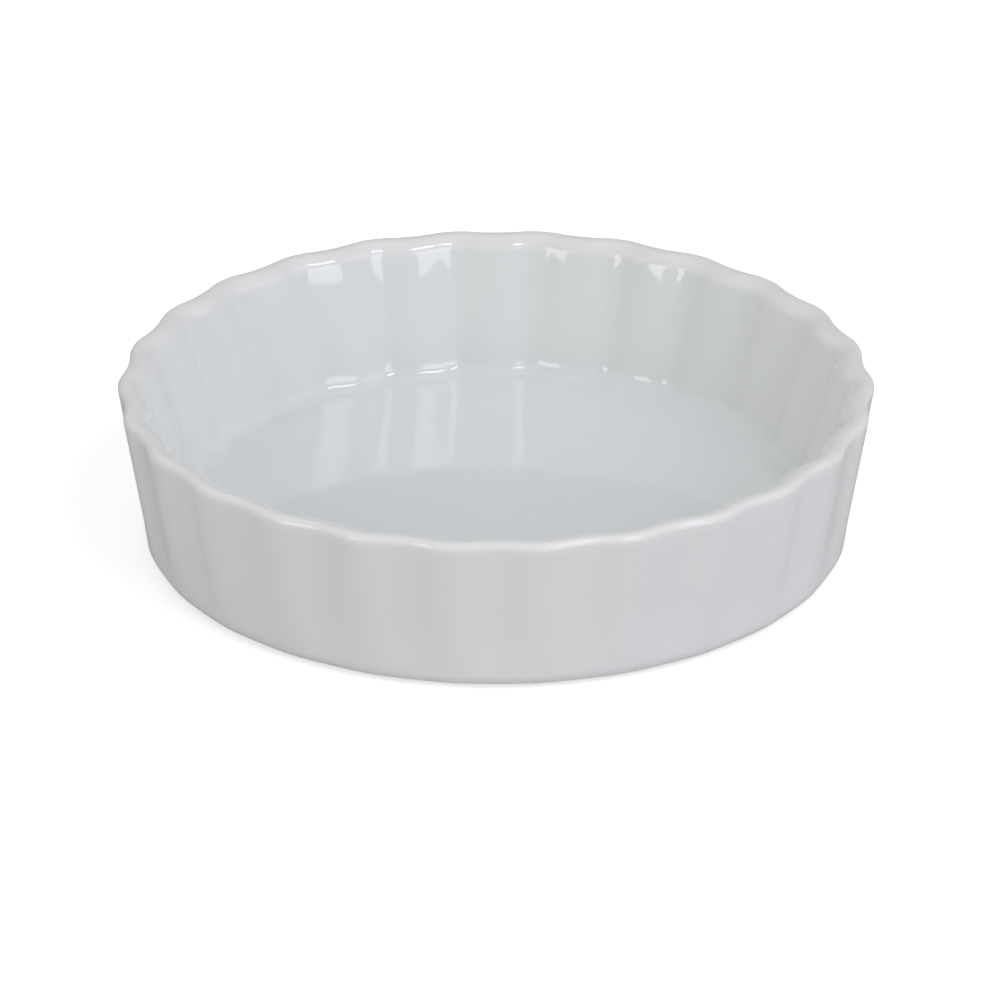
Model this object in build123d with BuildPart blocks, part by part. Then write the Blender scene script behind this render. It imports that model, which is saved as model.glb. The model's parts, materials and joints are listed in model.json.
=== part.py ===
from build123d import *
import os
from math import atan, cos, pi, radians, sin, tan

# A small round fluted quiche dish of glazed porcelain, 127 mm across and 28 mm high.
# It is one fired piece: a porcelain body, and the glassy glaze that is fused over all of it
# but the foot ring that it stands on. The origin is the middle of the underside, on the
# surface that the dish rests on, and +Z points out of the open top.
# Every size is taken at the outside of the glaze, and the body lies one skin of it deeper.

# Overall
rim_width = 127.0              # across two opposite crests of the fluting, at the lip
dish_height = 28.0
wall_lean = radians(9.4)       # how far the outside wall leans out from upright
glaze_thickness = 0.3

# Wall and floor
rim_thickness = 4.2            # between the outer and the inner face, under the lip
lip_flat = 0.3                 # the level band that is left between the lip's two roundings
inner_rounding_share = 0.63    # what the inner one takes of the rest, which makes it the softer
floor_corner_thickness = 7.1   # of the wall, level with the inside floor
floor_thickness = 3.8
floor_rounding = 3.0           # where the inside wall turns into the floor
foot_rounding = 3.0            # where the outside wall turns under

# Fluting
flute_count = 26
crest_rounding = 12.5          # over the crests outside; the grooves inside lie parallel to it
rim_hollow = 0.57              # how far a flute dips behind the straight line between crests
base_hollow = 0.16
floor_hollow = 0.5

# Underside
foot_ring_width = 3.4          # the bare ring that touches the table
foot_edge_rounding = 0.4       # on the inner edge of that ring
bare_foot_height = 0.8         # the glaze is wiped off up to this height
recess_depth = 1.4             # how far the underside is raised inside the ring
recess_draft = 1.0             # what the ring is wider by at the recess than at the table
recess_rounding = 0.6

half_pitch = radians(180 / flute_count)
floor_height = recess_depth + floor_thickness

# A rounding of radius 1 between two faces reaches this far along each. The outside wall
# turns by more than a right angle to the lip, and by less to the underside.
outer_lip_reach = tan((pi / 2 + wall_lean) / 2)
foot_reach = tan((pi / 2 - wall_lean) / 2)
inside_rise = dish_height - floor_height
inside_spread = inside_rise * tan(wall_lean) + floor_corner_thickness - rim_thickness
inner_lip_reach = tan((pi / 2 - atan(inside_spread / inside_rise)) / 2)
lip_room = rim_thickness - lip_flat
inner_lip_rounding = lip_room * inner_rounding_share / inner_lip_reach
outer_lip_rounding = lip_room * (1 - inner_rounding_share) / outer_lip_reach


def wall_radius(height):
    """The outside wall's radius over the crests, on its straight line through the lip."""
    lip_bulge = outer_lip_rounding * (tan(wall_lean) + 1 / cos(wall_lean) - 1)
    return rim_width / 2 + lip_bulge - (dish_height - height) * tan(wall_lean)


def polar_point(radius, angle):
    return (radius * cos(angle), radius * sin(angle))


def fluted_outline(level, crest_radius, rounding, hollow):
    """A closed outline that waves between an arc over each crest and one in each flute."""
    crest_centre = crest_radius - rounding
    flute_radius = crest_centre * cos(half_pitch) + rounding - hollow
    flute_rounding = (
        crest_centre**2
        + flute_radius**2
        - 2 * crest_centre * flute_radius * cos(half_pitch)
        - rounding**2
    ) / (2 * hollow)
    # the two arcs meet on the straight line between their centres
    flute_centre = Vector(*polar_point(flute_radius + flute_rounding, half_pitch))
    to_flute_centre = flute_centre - Vector(crest_centre, 0)
    meeting = Vector(crest_centre, 0) + to_flute_centre.normalized() * rounding
    meeting_angle = radians(meeting.get_angle(Vector(1, 0)))
    with BuildSketch(Plane.XY.offset(level)) as outline:
        with BuildLine():
            for flute in range(flute_count):
                crest = 2 * flute * half_pitch
                crest_start = polar_point(meeting.length, crest - meeting_angle)
                crest_end = polar_point(meeting.length, crest + meeting_angle)
                next_start = polar_point(meeting.length, crest + 2 * half_pitch - meeting_angle)
                ThreePointArc(crest_start, polar_point(crest_radius, crest), crest_end)
                ThreePointArc(crest_end, polar_point(flute_radius, crest + half_pitch), next_start)
        make_face()
    return outline.sketch


def fluted_dish(skin):
    """The whole dish, with every face set back by skin from the outside of the glaze."""
    top = dish_height - skin
    floor = floor_height - skin
    # the body stands on the table, and a coat all round it would reach below
    underside = skin - glaze_thickness
    ceiling = recess_depth + skin
    foot_radius = foot_rounding + glaze_thickness - skin
    ring_outer_radius = wall_radius(0) - glaze_thickness - foot_rounding * foot_reach
    ring_inner_radius = ring_outer_radius - foot_ring_width - glaze_thickness + skin
    outside_base = fluted_outline(
        underside, wall_radius(underside) - skin, crest_rounding - skin, base_hollow
    )
    outside_rim = fluted_outline(
        top, wall_radius(top) - skin, crest_rounding - skin, rim_hollow
    )
    inside_floor = fluted_outline(
        floor,
        wall_radius(floor_height) - floor_corner_thickness + skin,
        crest_rounding - floor_corner_thickness + skin,
        floor_hollow,
    )
    inside_rim = fluted_outline(
        top,
        wall_radius(dish_height) - rim_thickness + skin,
        crest_rounding - rim_thickness + skin,
        rim_hollow,
    )
    with BuildPart() as dish:
        loft(sections=[outside_base, outside_rim], ruled=True)
        loft(sections=[inside_floor, inside_rim], ruled=True, mode=Mode.SUBTRACT)
        foot, inside, lip = dish.faces().filter_by(Axis.Z).sort_by(Axis.Z)
        fillet(inside.edges(), floor_rounding + skin)
        fillet(foot.edges(), foot_radius)
        fillet(lip.outer_wire().edges(), outer_lip_rounding - skin)
        lip = dish.faces().filter_by(Axis.Z).sort_by(Axis.Z)[-1]
        fillet(lip.inner_wires()[0].edges(), inner_lip_rounding - skin)
        with BuildSketch(Plane.XZ) as recess:
            with BuildLine():
                Polyline(
                    (0, underside),
                    (ring_inner_radius, underside),
                    (ring_inner_radius - recess_draft, ceiling),
                    (0, ceiling),
                    close=True,
                )
            make_face()
            fillet(recess.vertices().group_by(Axis.Y)[-1].sort_by(Axis.X)[-1], recess_rounding)
        revolve(axis=Axis.Z, mode=Mode.SUBTRACT)
    return dish.part


os.makedirs("parts", exist_ok=True)

# The porcelain body, which shows bare only on the foot ring
with BuildPart() as dish_body:
    add(fluted_dish(glaze_thickness))
    foot_ring = dish_body.faces().sort_by(Axis.Z)[0]
    fillet(foot_ring.inner_wires()[0].edges(), foot_edge_rounding)
dish_body.part.label = "dish_body"
export_step(dish_body.part, "parts/dish_body.step")

# The glaze is what the finished dish has beyond its body, above the wiped foot.
# The bare ring parts it in two: the coat of the whole dish, and the coat of the recess.
with BuildPart() as all_glaze:
    add(fluted_dish(0))
    split(bisect_by=Plane.XY.offset(bare_foot_height), keep=Keep.TOP)
    add(dish_body.part, mode=Mode.SUBTRACT)
recess_coat, dish_coat = all_glaze.solids().sort_by(SortBy.VOLUME)

with BuildPart() as glaze:
    add(dish_coat, clean=False)
glaze.part.label = "glaze"
export_step(glaze.part, "parts/glaze.step")

with BuildPart() as underside_glaze:
    add(recess_coat, clean=False)
underside_glaze.part.label = "underside_glaze"
export_step(underside_glaze.part, "parts/underside_glaze.step")
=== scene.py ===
import bpy
import bmesh
import json
from itertools import pairwise
from math import atan2, cos, pi, radians, sin, tan
from mathutils import Matrix, Vector

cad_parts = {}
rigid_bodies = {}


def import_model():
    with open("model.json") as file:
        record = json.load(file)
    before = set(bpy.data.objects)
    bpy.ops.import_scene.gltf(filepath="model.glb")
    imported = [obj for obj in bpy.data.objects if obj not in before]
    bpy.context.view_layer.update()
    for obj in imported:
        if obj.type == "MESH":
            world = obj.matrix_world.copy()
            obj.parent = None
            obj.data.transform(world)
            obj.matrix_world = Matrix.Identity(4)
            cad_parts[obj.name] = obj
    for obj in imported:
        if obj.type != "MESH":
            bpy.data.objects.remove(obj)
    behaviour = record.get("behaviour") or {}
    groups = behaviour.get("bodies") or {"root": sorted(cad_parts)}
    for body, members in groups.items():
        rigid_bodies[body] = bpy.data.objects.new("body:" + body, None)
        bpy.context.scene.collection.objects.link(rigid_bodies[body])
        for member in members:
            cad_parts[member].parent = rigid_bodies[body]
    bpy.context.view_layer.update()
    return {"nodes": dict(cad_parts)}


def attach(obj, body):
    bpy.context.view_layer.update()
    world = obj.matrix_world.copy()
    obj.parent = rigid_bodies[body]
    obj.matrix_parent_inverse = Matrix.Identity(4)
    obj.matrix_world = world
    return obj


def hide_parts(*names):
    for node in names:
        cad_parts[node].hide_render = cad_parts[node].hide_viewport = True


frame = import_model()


# The coat of glaze: a clear, glassy layer that the dish is dipped in and that the second
# firing fuses to the white porcelain. It covers the fluted outside wall, the rounded lip,
# the inside wall and the floor, and ends in a wiped edge just above the foot.
rim_width = 0.127              # across two opposite crests of the fluting, at the lip
dish_height = 0.028
wall_lean = radians(9.4)       # how far the outside wall leans out from upright
glaze_thickness = 0.0003
base = -glaze_thickness        # where a coat all round the dish would reach below the table

# the fluting; each hollow is how far a flute dips behind the straight line between its crests
flute_count = 26
flute_pitch = 2 * pi / flute_count
crest_rounding = 0.0125
foot_hollow = 0.0004
rim_hollow = 0.00054
inside_hollow = 0.00072

# the lip, with a level band between its softer inner and its tighter outer rounding
rim_thickness = 0.0042
lip_flat = 0.0003
inner_rounding_share = 0.63
outer_lip_reach = (rim_thickness - lip_flat) * (1 - inner_rounding_share)
outer_lip_rounding = outer_lip_reach / tan((pi / 2 + wall_lean) / 2)
inner_lip_segments = 10
outer_lip_segments = 8

# the floor and the foot
floor_corner_thickness = 0.0071    # of the wall, level with the inside floor
floor_height = 0.0052
floor_rounding = 0.003
foot_rounding = 0.0033
foot_fullness = 0.0004         # what the nearly round foot stands out by
corner_segments = 8
bare_foot_height = 0.0008

# the flare of the inside wall, up to where the lip starts to turn
flare_start = 0.022
flare_curvature = 6            # times the square of the height above its start is the flare
flare_heights = (0.0232, 0.0245)
lip_start = 0.0258

# the coat's unevenness, its sunk inner side, and the bead on its wiped edge
unevenness_size = 0.018
unevenness_depth = 0.0001
coat_depth = 0.001
bead_width = 0.0001

# the fineness of the mesh, and the distances by which its rings are made and told apart
crest_steps = 12
flute_steps = 12
wall_cuts = 7
long_rise = 0.01
floor_rings = 8
merge_distance = 2e-5
level_tolerance = 1e-5
ring_gap = 0.01
seed_size = 0.001


def outside_radius(height):
    """The outside wall's radius over the crests, on its straight line through the lip."""
    lip_bulge = outer_lip_rounding * (tan(wall_lean) + 1 / cos(wall_lean) - 1)
    return rim_width / 2 + lip_bulge - (dish_height - height) * tan(wall_lean)


rim_inside_radius = outside_radius(dish_height) - rim_thickness
floor_radius = outside_radius(floor_height) - floor_corner_thickness
inside_lean = atan2(rim_inside_radius - floor_radius, dish_height - floor_height)


def inside_radius(height):
    """The inside wall's radius in the grooves: a straight line that flares to the lip."""
    rise = (height - floor_height) / (dish_height - floor_height)
    flare = flare_curvature * max(height - flare_start, 0) ** 2
    return floor_radius + (rim_inside_radius - floor_radius) * rise + flare


lip_outer_radius = outside_radius(dish_height)
lip_inner_radius = inside_radius(dish_height)
inner_lip_reach = lip_outer_radius - outer_lip_reach - lip_flat - lip_inner_radius
middle_of_lip = (lip_outer_radius + lip_inner_radius) / 2
outer_part_of_lip = lip_outer_radius - rim_thickness * 0.3


def near(value, wanted):
    """Whether two heights are the same but for rounding."""
    return abs(value - wanted) < level_tolerance


def select(vertex_is_wanted):
    """Selects the vertices that a test holds for, and the edges and faces between them."""
    bpy.ops.mesh.select_all(action="DESELECT")
    mesh = bmesh.from_edit_mesh(bpy.context.object.data)
    mesh.select_mode = {"VERT"}
    for vertex in mesh.verts:
        vertex.select = vertex_is_wanted(vertex.co)
    mesh.select_flush_mode()
    bmesh.update_edit_mesh(bpy.context.object.data)


def select_edges(edge_is_wanted):
    """Selects the edges that a test of their two ends holds for."""
    bpy.ops.mesh.select_all(action="DESELECT")
    bpy.ops.mesh.select_mode(type="EDGE")
    mesh = bmesh.from_edit_mesh(bpy.context.object.data)
    for edge in mesh.edges:
        edge.select_set(edge_is_wanted(edge.verts[0].co, edge.verts[1].co))
    bmesh.update_edit_mesh(bpy.context.object.data)


def draw_fluted_ring(height, crest_radius, rounding, hollow, roundness=0):
    """Draws a closed ring that waves between an arc over each crest and one in each flute."""
    crest_centre = crest_radius - rounding
    flute_radius = crest_centre * cos(flute_pitch / 2) + rounding - hollow
    flute_rounding = (
        crest_centre**2 + flute_radius**2
        - 2 * crest_centre * flute_radius * cos(flute_pitch / 2) - rounding**2
    ) / (2 * hollow)
    flute_centre = Matrix.Rotation(flute_pitch / 2, 2) @ Vector((flute_radius + flute_rounding, 0))
    turn = atan2(flute_centre.y, flute_centre.x - crest_centre)
    start = Vector((crest_centre + rounding * cos(turn), -rounding * sin(turn), height))
    select(lambda place: False)
    bpy.ops.mesh.primitive_plane_add(size=seed_size, location=start)
    bpy.ops.mesh.merge(type="CENTER")
    bpy.ops.mesh.spin(
        steps=crest_steps, angle=-2 * turn, center=(crest_centre, 0, height), axis=(0, 0, 1)
    )
    bpy.ops.mesh.spin(
        steps=flute_steps,
        angle=2 * turn - flute_pitch,
        center=(*flute_centre, height),
        axis=(0, 0, 1),
    )
    bpy.ops.mesh.select_linked()
    bpy.ops.mesh.spin(
        steps=flute_count, dupli=True, angle=2 * pi, center=(0, 0, height), axis=(0, 0, 1)
    )
    select(lambda place: near(place.z, height))
    bpy.ops.mesh.remove_doubles(threshold=merge_distance)
    bpy.ops.transform.tosphere(value=roundness, center_override=(0, 0, height))


def round_over(reach, segments, edge_is_wanted):
    """Rounds an edge loop; the rounding reaches the given length along either side."""
    select_edges(edge_is_wanted)
    bpy.ops.mesh.bevel(
        offset_type="OFFSET",
        offset=reach,
        segments=segments,
        profile=0.5,
        affect="EDGES",
        clamp_overlap=False,
    )


bpy.ops.object.select_all(action="DESELECT")
bpy.ops.mesh.primitive_plane_add(size=seed_size)
glaze = bpy.context.object
glaze.name = "glaze_coat"
bpy.ops.object.mode_set(mode="EDIT")
bpy.ops.mesh.delete(type="VERT")

# the outside wall, whose flutes come in slowly above a foot that is nearly round: each ring's
# height, and its roundness from 0 for full flutes to 1 for a circle
outside_rings = (
    (base, 0.9),
    (0.003, 0.72),
    (0.005, 0.45),
    (0.007, 0.2),
    (0.0095, 0),
    (dish_height, 0),
)
for height, roundness in outside_rings:
    crest_radius = outside_radius(height) + foot_fullness * roundness
    hollow = foot_hollow + (rim_hollow - foot_hollow) * height / dish_height
    draw_fluted_ring(height, crest_radius, crest_rounding, hollow, roundness)
for bottom, top in pairwise(height for height, roundness in outside_rings):
    select(lambda place: near(place.z, bottom) or near(place.z, top))
    bpy.ops.mesh.bridge_edge_loops()

# the top of the lip, whose inner ring is drawn above the outer one and lowered to it, because
# two rings in one plane would be bridged crosswise
draw_fluted_ring(
    dish_height + ring_gap, lip_inner_radius, crest_rounding - rim_thickness, inside_hollow
)
select(lambda place: place.z > dish_height - ring_gap / 2)
bpy.ops.mesh.bridge_edge_loops()
select(lambda place: place.z > dish_height + ring_gap / 2)
bpy.ops.transform.translate(value=(0, 0, -ring_gap))

# the inside wall, which flares a little below the lip
inside_heights = (dish_height, lip_start, *reversed(flare_heights), flare_start, floor_height)
for height in inside_heights[1:]:
    share = (dish_height - height) / (dish_height - floor_height)
    thickness = rim_thickness + (floor_corner_thickness - rim_thickness) * share
    draw_fluted_ring(height, inside_radius(height), crest_rounding - thickness, inside_hollow)
for top, bottom in pairwise(inside_heights):
    select(lambda place: place.xy.length < middle_of_lip and (
        near(place.z, top) or near(place.z, bottom)
    ))
    bpy.ops.mesh.bridge_edge_loops()

# the floor, and an underside for the foot to be rounded against
for height in (floor_height, base):
    select(lambda place: near(place.z, height))
    bpy.ops.mesh.edge_face_add()
bpy.ops.mesh.select_all(action="SELECT")
bpy.ops.mesh.normals_make_consistent(inside=False)

# the lip's inner and outer edge, the corner of the floor, and the foot
round_over(inner_lip_reach, inner_lip_segments, lambda a, b: (
    near(a.z, dish_height) and near(b.z, dish_height)
    and max(a.xy.length, b.xy.length) < middle_of_lip
))
round_over(outer_lip_reach, outer_lip_segments, lambda a, b: (
    near(a.z, dish_height) and near(b.z, dish_height)
    and min(a.xy.length, b.xy.length) > outer_part_of_lip
))
round_over(floor_rounding * tan(pi / 4 - inside_lean / 2), corner_segments, lambda a, b: (
    near(a.z, floor_height) and near(b.z, floor_height)
))
round_over(foot_rounding * tan(pi / 4 - wall_lean / 2), corner_segments, lambda a, b: (
    near(a.z, base) and near(b.z, base)
))

# the coat stops at the wiped line above the foot
bpy.ops.mesh.select_all(action="SELECT")
bpy.ops.mesh.bisect(
    plane_co=(0, 0, bare_foot_height), plane_no=(0, 0, 1), clear_inner=True, use_fill=False
)

# the long upright edges are cut up, so that the wall can be uneven along them
select_edges(lambda a, b: abs(a.z - b.z) > long_rise)
bpy.ops.mesh.subdivide(number_cuts=wall_cuts)

# the floor is closed towards its middle, ring by ring
bpy.ops.mesh.select_mode(type="FACE")
bpy.ops.mesh.select_all(action="DESELECT")
mesh = bmesh.from_edit_mesh(glaze.data)
floor_face = max(mesh.faces, key=lambda face: face.calc_area())
floor_face.select_set(True)
bmesh.update_edit_mesh(glaze.data)
for ring in range(floor_rings):
    bpy.ops.mesh.extrude_region_move()
    shrink = 1 - 1 / (floor_rings + 1 - ring)
    bpy.ops.transform.resize(value=(shrink, shrink, 1), center_override=(0, 0, floor_height))
bpy.ops.mesh.merge(type="CENTER")
bpy.ops.object.mode_set(mode="OBJECT")
bpy.ops.object.shade_smooth()

# dipping and hand finishing leave every flute a little different
unevenness = bpy.data.textures.new("unevenness", "CLOUDS")
unevenness.noise_scale = unevenness_size
uneven = glaze.modifiers.new("uneven", "DISPLACE")
uneven.texture = unevenness
uneven.texture_coords = "LOCAL"
uneven.strength = unevenness_depth
uneven.mid_level = 1
# the inner side of the coat lies sunk in the porcelain, so that no gap shows above the foot
coat = glaze.modifiers.new("coat", "SOLIDIFY")
coat.thickness = coat_depth
coat.offset = -1
coat.use_even_offset = True
# the wiped edge is drawn into a fine bead
edge_bead = glaze.modifiers.new("edge_bead", "BEVEL")
edge_bead.width = bead_width
edge_bead.segments = 3
edge_bead.limit_method = "ANGLE"
edge_bead.angle_limit = radians(50)
for modifier in (uneven, coat, edge_bead):
    bpy.ops.object.modifier_apply(modifier=modifier.name)
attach(glaze, "root")
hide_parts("glaze")


class Value:
    """A value inside a material. Sums with it add the Math nodes that work them out."""

    def __init__(self, finish, socket):
        self.finish = finish
        self.socket = socket

    def _sum(self, operation, first, second):
        return self.finish.node("ShaderNodeMath", {"operation": operation}, {0: first, 1: second})

    def __add__(self, other):
        return self._sum("ADD", self, other)

    def __radd__(self, other):
        return self._sum("ADD", other, self)

    def __sub__(self, other):
        return self._sum("SUBTRACT", self, other)

    def __rsub__(self, other):
        return self._sum("SUBTRACT", other, self)

    def __mul__(self, other):
        return self._sum("MULTIPLY", self, other)

    def __rmul__(self, other):
        return self._sum("MULTIPLY", other, self)


class Finish:
    """A material that is put together node by node."""

    def __init__(self, name):
        self.material = bpy.data.materials.new(name)
        self.material.use_nodes = True
        self.tree = self.material.node_tree
        self.shader = self.tree.nodes["Principled BSDF"]

    def node(self, kind, settings, inputs, output=0):
        """Adds a node: its settings first, then a value or a link for each socket."""
        node = self.tree.nodes.new(kind)
        for setting, value in settings.items():
            if setting == "stops":
                for stop, (position, color) in enumerate(value):
                    if stop >= len(node.color_ramp.elements):
                        node.color_ramp.elements.new(position)
                    node.color_ramp.elements[stop].position = position
                    node.color_ramp.elements[stop].color = color
            else:
                setattr(node, setting, value)
        for socket, value in inputs.items():
            self.feed(node.inputs[socket], value)
        return Value(self, node.outputs[output])

    def feed(self, socket, value):
        if isinstance(value, Value):
            self.tree.links.new(value.socket, socket)
        else:
            socket.default_value = value

    def set(self, **sockets):
        """Gives the surface shader its values; an underscore stands for a space."""
        for socket, value in sockets.items():
            self.feed(self.shader.inputs[socket.replace("_", " ")], value)

    def place(self):
        """The place on the piece, measured from the middle of the dish's underside."""
        return self.node("ShaderNodeTexCoord", {}, {}, "Object")

    def along(self, axis, place):
        """How far a place lies along the axis X, Y or Z."""
        return self.node("ShaderNodeSeparateXYZ", {}, {"Vector": place}, axis)

    def radius(self, place):
        """How far a place lies from the upright axis in the middle of the dish."""
        squares = self.along("X", place) * self.along("X", place)
        squares = squares + self.along("Y", place) * self.along("Y", place)
        return self.node("ShaderNodeMath", {"operation": "SQRT"}, {0: squares})

    def mix_colors(self, factor, first, second):
        """Blends two colours, which the Mix node takes in its sockets 6 and 7."""
        inputs = {"Factor": factor, 6: first, 7: second}
        return self.node("ShaderNodeMix", {"data_type": "RGBA"}, inputs, 2)

    def noise(self, place, scale, detail):
        return self.node("ShaderNodeTexNoise", {}, {"Vector": place, "Scale": scale, "Detail": detail})


glazed = Finish("clear_glaze")
place = glazed.place()
level = glazed.along("Z", place)
radius = glazed.radius(place)
azimuth = glazed.node(
    "ShaderNodeMath", {"operation": "ARCTAN2"},
    {0: glazed.along("Y", place), 1: glazed.along("X", place)},
)
crest = glazed.node("ShaderNodeMath", {"operation": "COSINE"}, {0: azimuth * flute_count})

# inside and outside are told apart at the middle of the wall, which leans with its two faces
wall_middle_slope = 0.228
wall_middle_at_table = 0.0552
wall_middle_blur = 0.0004
middle_of_wall = level * wall_middle_slope + wall_middle_at_table
outside = glazed.node(
    "ShaderNodeMapRange", {},
    {
        "Value": radius - middle_of_wall,
        "From Min": -wall_middle_blur,
        "From Max": wall_middle_blur,
    },
)

# it ran down, and lies thicker and bluer on the floor and at the foot of the inside wall
pool_top = 0.009
pool_height = glazed.node(
    "ShaderNodeMapRange", {"interpolation_type": "SMOOTHSTEP"},
    {"Value": level, "From Min": floor_height, "From Max": pool_top, "To Min": 1, "To Max": 0},
)
pooled = pool_height * (1 - outside)
cloudiness = glazed.noise(place, scale=60, detail=3)
coat_color = glazed.mix_colors(cloudiness, (0.752, 0.766, 0.764, 1), (0.778, 0.789, 0.786, 1))
pool_color = glazed.mix_colors(cloudiness, (0.756, 0.782, 0.791, 1), (0.777, 0.798, 0.806, 1))
glaze_color = glazed.mix_colors(pooled, coat_color, pool_color)

# it drew back from the lip, most of all outside and over the crests, so that the lighter and warmer
# porcelain shows through; part of that lightness is painted light, for the light that falls on the lip
# from above
thin_start = 0.0255
thin_end = 0.0272
thin_share = 0.45
thin_outside_share = 0.3
thin_crest_share = 0.15
lip_color_with_painted_light = (0.812, 0.817, 0.805, 1)
lip_height = glazed.node(
    "ShaderNodeMapRange", {"interpolation_type": "SMOOTHSTEP"},
    {"Value": level, "From Min": thin_start, "From Max": thin_end},
)
# partly thin glaze, partly painted light: the lip is painted lighter where light from above falls on
# it
thin_glaze_and_painted_lip_light = lip_height * (
    thin_share + outside * thin_outside_share + crest * thin_crest_share
)
glaze_color = glazed.mix_colors(thin_glaze_and_painted_lip_light, glaze_color, lip_color_with_painted_light)

# it is glassy, with a slow swell and a faint orange peel
peel_share = 0.015
swell = glazed.noise(place, scale=120, detail=1)
peel = glazed.noise(place, scale=900, detail=2)
ripple = glazed.node(
    "ShaderNodeBump", {},
    {"Strength": 0.3, "Distance": 0.0002, "Height": swell + peel * peel_share},
)
gloss = glazed.node("ShaderNodeMapRange", {}, {"Value": cloudiness, "To Min": 0.035, "To Max": 0.07})
glazed.set(Base_Color=glaze_color, Roughness=gloss, IOR=1.5, Normal=ripple)
glaze.data.materials.append(glazed.material)


# The glaze of the recess, inside the foot ring. It is the same coat, fired on at the same
# time, and the wiped ring cuts it off from the rest. The solid has its true shape already,
# so it only gets its finish here.
recess_coat = frame["nodes"]["underside_glaze"]
recess_coat.data.materials.clear()
recess_coat.data.materials.append(glazed.material)


# The porcelain body: once-fired white clay under the glaze. It shows bare on the foot ring,
# which is wiped before the glaze firing and rubbed smooth on a stone after it.
porcelain = Finish("bare_porcelain")
place = porcelain.place()
grain = porcelain.noise(place, scale=2200, detail=3)
blush = porcelain.noise(place, scale=45, detail=3)
body_color = porcelain.mix_colors(blush, (0.80, 0.775, 0.72, 1), (0.76, 0.73, 0.67, 1))

# the stone leaves fine rings, which wander a little
ring_wander = 0.0004
rubbing_share = 0.8
across = porcelain.node(
    "ShaderNodeCombineXYZ", {}, {"X": porcelain.radius(place), "Z": blush * ring_wander},
)
rubbing = porcelain.noise(across, scale=5000, detail=2)
rough_skin = porcelain.node(
    "ShaderNodeBump", {},
    {"Strength": 0.5, "Distance": 0.00002, "Height": grain + rubbing * rubbing_share},
)
dryness = porcelain.node("ShaderNodeMapRange", {}, {"Value": rubbing, "To Min": 0.5, "To Max": 0.72})
porcelain.set(Base_Color=body_color, Roughness=dryness, IOR=1.5, Normal=rough_skin)
body = frame["nodes"]["dish_body"]
body.data.materials.clear()
body.data.materials.append(porcelain.material)


# The floor of the studio: matt white paper, laid flat and far past the picture on all sides.
# The camera sees it white where no shadow falls. In the glaze it shows painted shade: it is mirrored
# darker in front of the dish than beside it, and at the left than at the right, for shade on the
# paper.
floor_size = 12
paper_tone = 0.75
paper_glow = 0.55
front_glow = 0.24
left_glow = 0.34
right_glow = 0.455
front_start = 0.03
front_end = 0.07
left_right_blur = 0.03


def grey(tone):
    return (tone, tone, tone, 1)


def seen_by(finish, kind_of_ray):
    return finish.node("ShaderNodeLightPath", {}, {}, kind_of_ray)


bpy.ops.object.select_all(action="DESELECT")
bpy.ops.mesh.primitive_plane_add(size=floor_size)
floor = bpy.context.object
floor.name = "studio_floor"
paper = Finish("studio_paper")
camera_ray = seen_by(paper, "Is Camera Ray")
glossy_ray = seen_by(paper, "Is Glossy Ray")
clear_ray = seen_by(paper, "Is Transmission Ray")
place = paper.place()
front = paper.node(
    "ShaderNodeMapRange", {},
    {"Value": paper.along("Y", place) * -1, "From Min": front_start, "From Max": front_end},
)
left = paper.node(
    "ShaderNodeMapRange", {},
    {
        "Value": paper.along("X", place) * -1,
        "From Min": -left_right_blur,
        "From Max": left_right_blur,
    },
)
# painted shade: the paper as the glaze mirrors it is darker in front of the dish and at its left
mirrored_paper_painted_shade = front * front_glow + (1 - front) * (left * left_glow + (1 - left) * right_glow)
paper.set(
    Base_Color=paper.mix_colors(glossy_ray, grey(paper_tone), grey(0)),
    Roughness=0.9,
    Specular_IOR_Level=0,
    Emission_Color=(camera_ray + clear_ray) * paper_glow + glossy_ray * mirrored_paper_painted_shade,
    Emission_Strength=1,
)
floor.data.materials.append(paper.material)


# The room round the dish, which the camera sees white. It lights the dish softly from all
# sides, and the glaze mirrors it lighter at the height of the table than above.
room_light = 0.408
mirrored_low = 0.66
mirrored_high = 0.36
low_up_to = 0.02               # the height of a direction: 0 is level and 1 straight up
high_from = 0.16


class RoomFinish(Finish):
    """The finish of the room, which is put together in the same way as a material."""

    def __init__(self, name):
        self.material = bpy.data.worlds.new(name)
        self.material.use_nodes = True
        self.tree = self.material.node_tree
        self.shader = self.tree.nodes["Background"]


room = RoomFinish("studio_room")
bpy.context.scene.world = room.material
direction = room.node("ShaderNodeTexCoord", {}, {}, "Generated")
mirrored = room.node(
    "ShaderNodeValToRGB",
    {"stops": ((low_up_to, grey(mirrored_low)), (high_from, grey(mirrored_high)))},
    {"Fac": room.along("Z", direction)},
)
camera_ray = seen_by(room, "Is Camera Ray")
glossy_ray = seen_by(room, "Is Glossy Ray")
clear_ray = seen_by(room, "Is Transmission Ray")
lit_or_mirrored = room.mix_colors(glossy_ray, grey(room_light), mirrored)
room.set(Color=room.mix_colors(camera_ray + clear_ray, lit_or_mirrored, grey(1)))


# The lamps: soft boxes round the dish, all at the same distance. Those at the right are a
# little bluish, and those at the left yellowish. The small high one draws the streaks of light
# on the inside floor and in its corner, and the top one lights the lip from behind.
lamp_distance = 2.2
cool_light = (0.973, 0.978, 1.049)
warm_light = (1.014, 1.018, 0.969)
white_light = (1, 1, 1)


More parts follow.
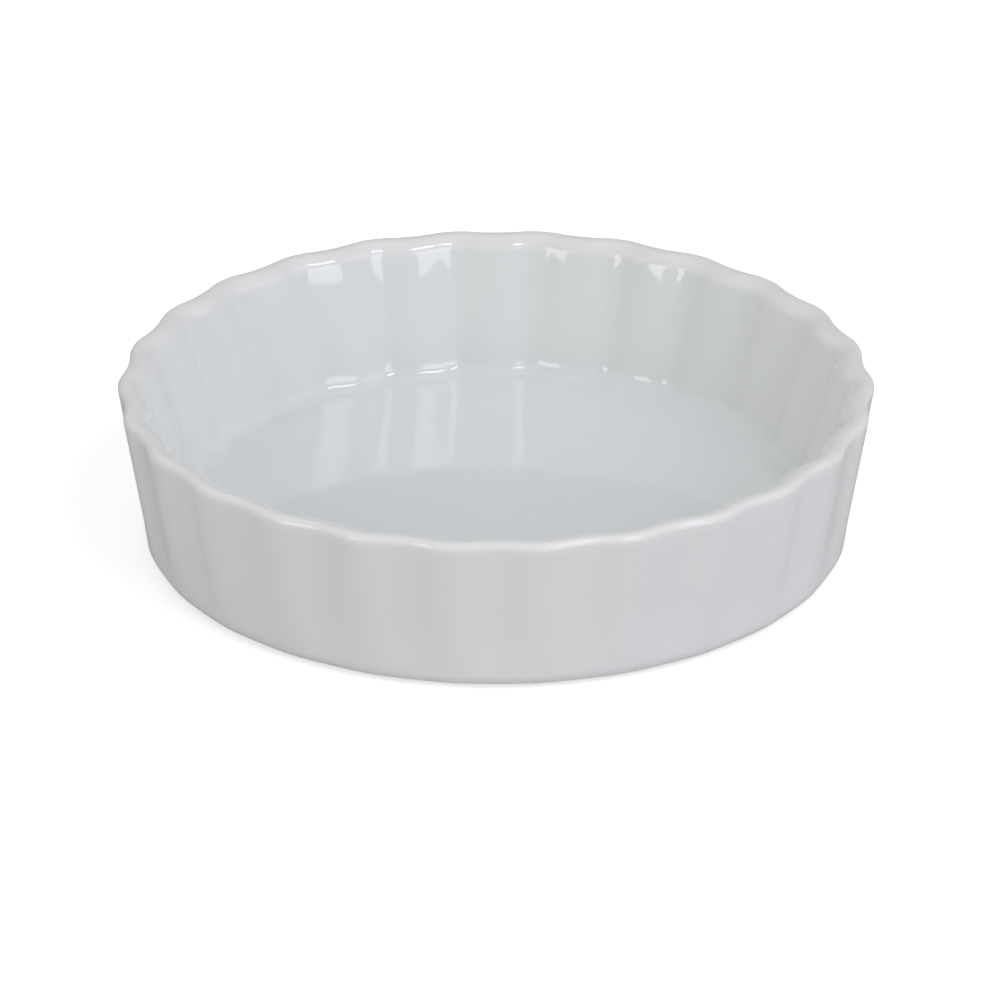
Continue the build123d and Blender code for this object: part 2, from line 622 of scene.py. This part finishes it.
def softbox(name, azimuth, elevation, width, height, watts, tint):
    """An area lamp that faces the dish; azimuth 0 is behind the camera, 90 at its right."""
    lamp = bpy.data.lights.new(name, "AREA")
    lamp.shape = "RECTANGLE"
    lamp.size = width
    lamp.size_y = height
    lamp.energy = watts
    lamp.color = tint
    holder = bpy.data.objects.new(name, lamp)
    bpy.context.scene.collection.objects.link(holder)
    across = radians(azimuth)
    up = radians(elevation)
    towards = Vector((sin(across) * cos(up), -cos(across) * cos(up), sin(up)))
    holder.location = towards * lamp_distance
    holder.rotation_euler = towards.to_track_quat("Z", "Y").to_euler()


softbox("key_softbox", 40, 25, 1, 1.25, 11.4, cool_light)
softbox("high_softbox", 50, 60, 0.85, 0.36, 7.8, cool_light)
softbox("fill_softbox", -46, 23.5, 0.65, 1.05, 7.9, warm_light)
softbox("left_softbox", -85, 35, 1.2, 1.2, 2.4, warm_light)
softbox("right_softbox", 85, 35, 1.2, 1.2, 3.6, cool_light)
softbox("back_softbox", -135, 35, 1.2, 1.2, 1.4, warm_light)
softbox("top_softbox", 180, 68, 1.6, 1.4, 2.2, white_light)


# The camera, which stands in front of the dish and looks down at it from 25 degrees. It aims
# a little below and to the right of the middle of the dish, as the photograph is framed.
camera_elevation = radians(25.448)
camera_distance = 1.2107
focal_length = 258.6
middle_of_dish = Vector((0, 0, 0.01403))
aim_right = 0.000669
aim_down = 0.00757
photo = bpy.data.cameras.new("photo_camera")
photo.lens = focal_length
photo.sensor_width = 36
photo.clip_start = 0.1
photo.clip_end = 50
camera = bpy.data.objects.new("photo_camera", photo)
bpy.context.scene.collection.objects.link(camera)
bpy.context.scene.camera = camera
to_camera = Vector((0, -cos(camera_elevation), sin(camera_elevation)))
camera_up = Vector((0, sin(camera_elevation), cos(camera_elevation)))
camera.location = middle_of_dish + camera_distance * to_camera
aim = middle_of_dish + Vector((aim_right, 0, 0)) - aim_down * camera_up
camera.rotation_euler = (aim - camera.location).to_track_quat("-Z", "Y").to_euler()
bpy.context.scene.view_settings.view_transform = "Standard"
